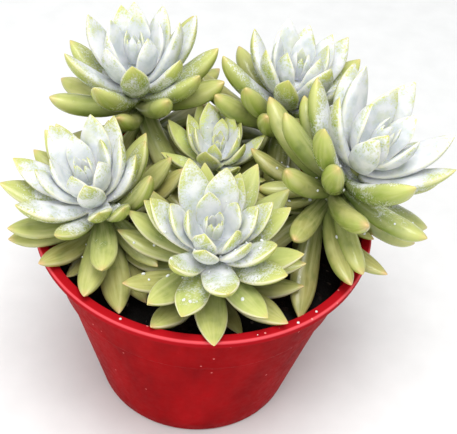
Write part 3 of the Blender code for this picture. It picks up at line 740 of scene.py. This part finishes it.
def buildStem(node, skin):
    bm = mergedCopy(node)
    mesh = bpy.data.meshes.new("stemSolid")
    bm.to_mesh(mesh)
    bm.free()
    solid = bpy.data.objects.new("stemSolid", mesh)
    bpy.context.scene.collection.objects.link(solid)
    grain = solid.modifiers.new("grain", "REMESH")
    grain.mode = "VOXEL"
    grain.voxel_size = stemForm["grain"]
    bpy.context.view_layer.update()
    fine = bpy.data.meshes.new_from_object(solid.evaluated_get(bpy.context.evaluated_depsgraph_get()))
    bpy.data.objects.remove(solid)

    bm = bmesh.new()
    bm.from_mesh(fine)
    for _ in range(stemForm["smoothings"]):
        bmesh.ops.smooth_vert(bm, verts=bm.verts, factor=0.5,
                              use_axis_x=True, use_axis_y=True, use_axis_z=True)
    bm.normal_update()
    for vert in bm.verts:  # swollen rings where leaves were attached
        drift = stemForm["ringWander"] * noise.noise(vert.co / stemForm["ringDrift"])
        ringed = math.sin(vert.co.z / stemForm["ringPitch"] * math.tau + drift)
        vert.co += vert.normal * (stemForm["ringDepth"] * ringed + stemForm["swell"])
    name = "".join(word.capitalize() for word in node.split("_"))
    return addPiece("fleshy" + name, bm, skin, [node])


# water left on the leaves and the lip

dropPlan = {
    "seed": 7,
    "sizes": (0.35 * mm, 0.9 * mm),
    "plants": {  # share of the leaves that are wet, most drops on one leaf
        "front": (0.6, 5),
        "left": (0.3, 3),
        "right": (0.4, 4),
        "middle": (0.2, 2),
    },
    "dry": ("_bud", "_heart_leaves", "_ground_leaves"),
    "around": (math.radians(25), math.radians(155)),  # on a leaf's upper face
    "along": (0.15, 0.8),
    "onLip": 11,
    "lipInset": (1.4, 3.6),  # mm
    "lipSize": 0.7,  # against the drops on leaves
    "sunk": 0.2,
    "height": 0.6,
}


def makeWater():
    # Water: smooth beads, painted milky white and only partly clear, as painted glints of light on them.
    water, tree, shader = newMaterial("milkyWater")
    place = addNode(tree, "TexCoord").outputs["Object"]
    ripple = addNode(tree, "TexNoise", {"Vector": place, "Scale": 1 / (1.2 * mm), "Detail": 1})
    relief = addNode(tree, "Bump", {"Height": ripple.outputs["Fac"], "Strength": 0.1, "Distance": 0.1 * mm})
    tree.links.new(relief.outputs[0], shader.inputs["Normal"])
    # painted glints: near white and only partly clear
    shader.inputs["Base Color"].default_value = hexColour("#FAFDFD")
    shader.inputs["Roughness"].default_value = 0.06
    shader.inputs["IOR"].default_value = 1.33
    shader.inputs["Transmission Weight"].default_value = 0.35
    return water


def addDrop(bm, point, normal, size):
    # a bead with its foot sunk a little into the surface
    turn = normal.to_track_quat("Z", "Y").to_matrix().to_4x4()
    place = Matrix.Translation(point + normal * size * dropPlan["sunk"]) @ turn
    place @= Matrix.Diagonal((1, 1, dropPlan["height"], 1))
    bmesh.ops.create_uvsphere(bm, u_segments=8, v_segments=5, radius=size, matrix=place)


def buildDrops(grown, water):
    chance = random.Random(dropPlan["seed"])
    bm = bmesh.new()
    for node in sorted(grown):
        plant = node.rsplit("_", 2)[0]
        if plant not in dropPlan["plants"] or node.endswith(dropPlan["dry"]):
            continue
        share, most = dropPlan["plants"][plant]
        for leaf in grown[node]:
            if chance.random() > share:
                continue
            for _ in range(chance.randint(1, most)):
                turn = chance.uniform(*dropPlan["around"])
                s = chance.uniform(*dropPlan["along"])
                point = leafPoint(leaf, math.cos(turn), math.sin(turn), s)
                normal = (point - leafPoint(leaf, 0, 0, s)).normalized()
                addDrop(bm, point, normal, chance.uniform(*dropPlan["sizes"]))
    for _ in range(dropPlan["onLip"]):
        turn = chance.uniform(0, math.tau)
        reach = potForm["rim"] - chance.uniform(*dropPlan["lipInset"]) * mm
        point = Vector((reach * math.cos(turn), reach * math.sin(turn), potForm["height"]))
        addDrop(bm, point, Vector((0, 0, 1)), dropPlan["lipSize"] * chance.uniform(*dropPlan["sizes"]))
    return addPiece("waterDrops", bm, water)


# studio

floorForm = {
    "radius": 4,  # m
    "sides": 96,
    "dark": "#DDDDDC",
    "light": "#E2E2E1",
    "unevenness": 60,  # per metre
}

lightPlan = {
    "lamps": {  # place (m), size (m), power (W)
        "key": ((0.05, -0.2, 1.1), 0.6, 10),  # soft, nearly overhead
        "fill": ((-0.5, -0.95, 0.7), 1.2, 8),  # broad, from the front left
    },
    "aim": (0, 0, 0.08),
    "sky": "#F4F6F8",
    "skyStrength": 0.71,
}

cameraPlan = {
    "elevation": 42.5,  # degrees
    "roll": 5.5,
    "distance": 400 * mm,
    "aim": (10 * mm, 0, 91 * mm),
    "lens": 75.5,  # mm, as is the sensor's width
    "sensor": 36,
}


def makeFloor():
    # Painted board: even and pale, matt.
    paint, tree, shader = newMaterial("paleMattPaint")
    place = addNode(tree, "TexCoord").outputs["Object"]
    grain = addNode(tree, "TexNoise", {"Vector": place, "Scale": floorForm["unevenness"], "Detail": 3})
    colour = addNode(tree, "ValToRGB", {"Fac": grain.outputs["Fac"]}, [
        (0.3, hexColour(floorForm["dark"])),
        (0.7, hexColour(floorForm["light"])),
    ]).outputs[0]
    tree.links.new(colour, shader.inputs["Base Color"])
    shader.inputs["Roughness"].default_value = 0.9
    bm = bmesh.new()
    bmesh.ops.create_circle(bm, cap_ends=True, segments=floorForm["sides"], radius=floorForm["radius"])
    mesh = bpy.data.meshes.new("floor")
    bm.to_mesh(mesh)
    bm.free()
    mesh.materials.append(paint)
    floor = bpy.data.objects.new("floor", mesh)
    bpy.context.scene.collection.objects.link(floor)


def addLights():
    for name, (place, size, power) in lightPlan["lamps"].items():
        lamp = bpy.data.lights.new(name, "AREA")
        lamp.energy = power
        lamp.size = size
        holder = bpy.data.objects.new(name, lamp)
        bpy.context.scene.collection.objects.link(holder)
        holder.location = place
        aim = Vector(lightPlan["aim"]) - Vector(place)
        holder.rotation_euler = aim.to_track_quat("-Z", "Y").to_euler()
    world = bpy.data.worlds.new("studio")
    world.use_nodes = True
    sky = world.node_tree.nodes["Background"]
    sky.inputs["Color"].default_value = hexColour(lightPlan["sky"])
    sky.inputs["Strength"].default_value = lightPlan["skyStrength"]
    bpy.context.scene.world = world
    bpy.context.scene.view_settings.view_transform = "Standard"


def addCamera():
    tilt = math.radians(cameraPlan["elevation"])
    back = Vector((0, -math.cos(tilt), math.sin(tilt)))
    right = Matrix.Rotation(math.radians(cameraPlan["roll"]), 3, back) @ Vector((1, 0, 0))
    data = bpy.data.cameras.new("camera")
    data.lens = cameraPlan["lens"]
    data.sensor_width = cameraPlan["sensor"]
    camera = bpy.data.objects.new("camera", data)
    bpy.context.scene.collection.objects.link(camera)
    camera.matrix_world = Matrix((right, back.cross(right), back)).transposed().to_4x4()
    camera.location = Vector(cameraPlan["aim"]) + back * cameraPlan["distance"]
    bpy.context.scene.camera = camera


leafSkin = makeLeafSkin()
blank = makeLeafBlank()
grown = {}
for node in sorted(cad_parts):
    if node.endswith(("_leaves", "_bud")):
        grown[node] = buildWhorl(node, blank, leafSkin)
print("leaves:", sum(len(leaves) for leaves in grown.values()))

stemSkin = makeStemSkin()
for node in sorted(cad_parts):
    if node.endswith("_stem"):
        buildStem(node, stemSkin)
print("stems done")

buildPot(makePotPlastic())
buildMix(makeMix("dampPeat", mixColours["peat"], mixColours["damp"], 0.5))
buildCrumbs("barkCrumbs", makeMix("barkChips", mixColours["damp"], mixColours["bark"], 0.4))
buildCrumbs("gritCrumbs", makeMix("stoneGrit", mixColours["bark"], mixColours["grit"], 0.5))
print("pot and mix done")

buildDrops(grown, makeWater())
print("drops done")

makeFloor()
addLights()
addCamera()
print("scene done")
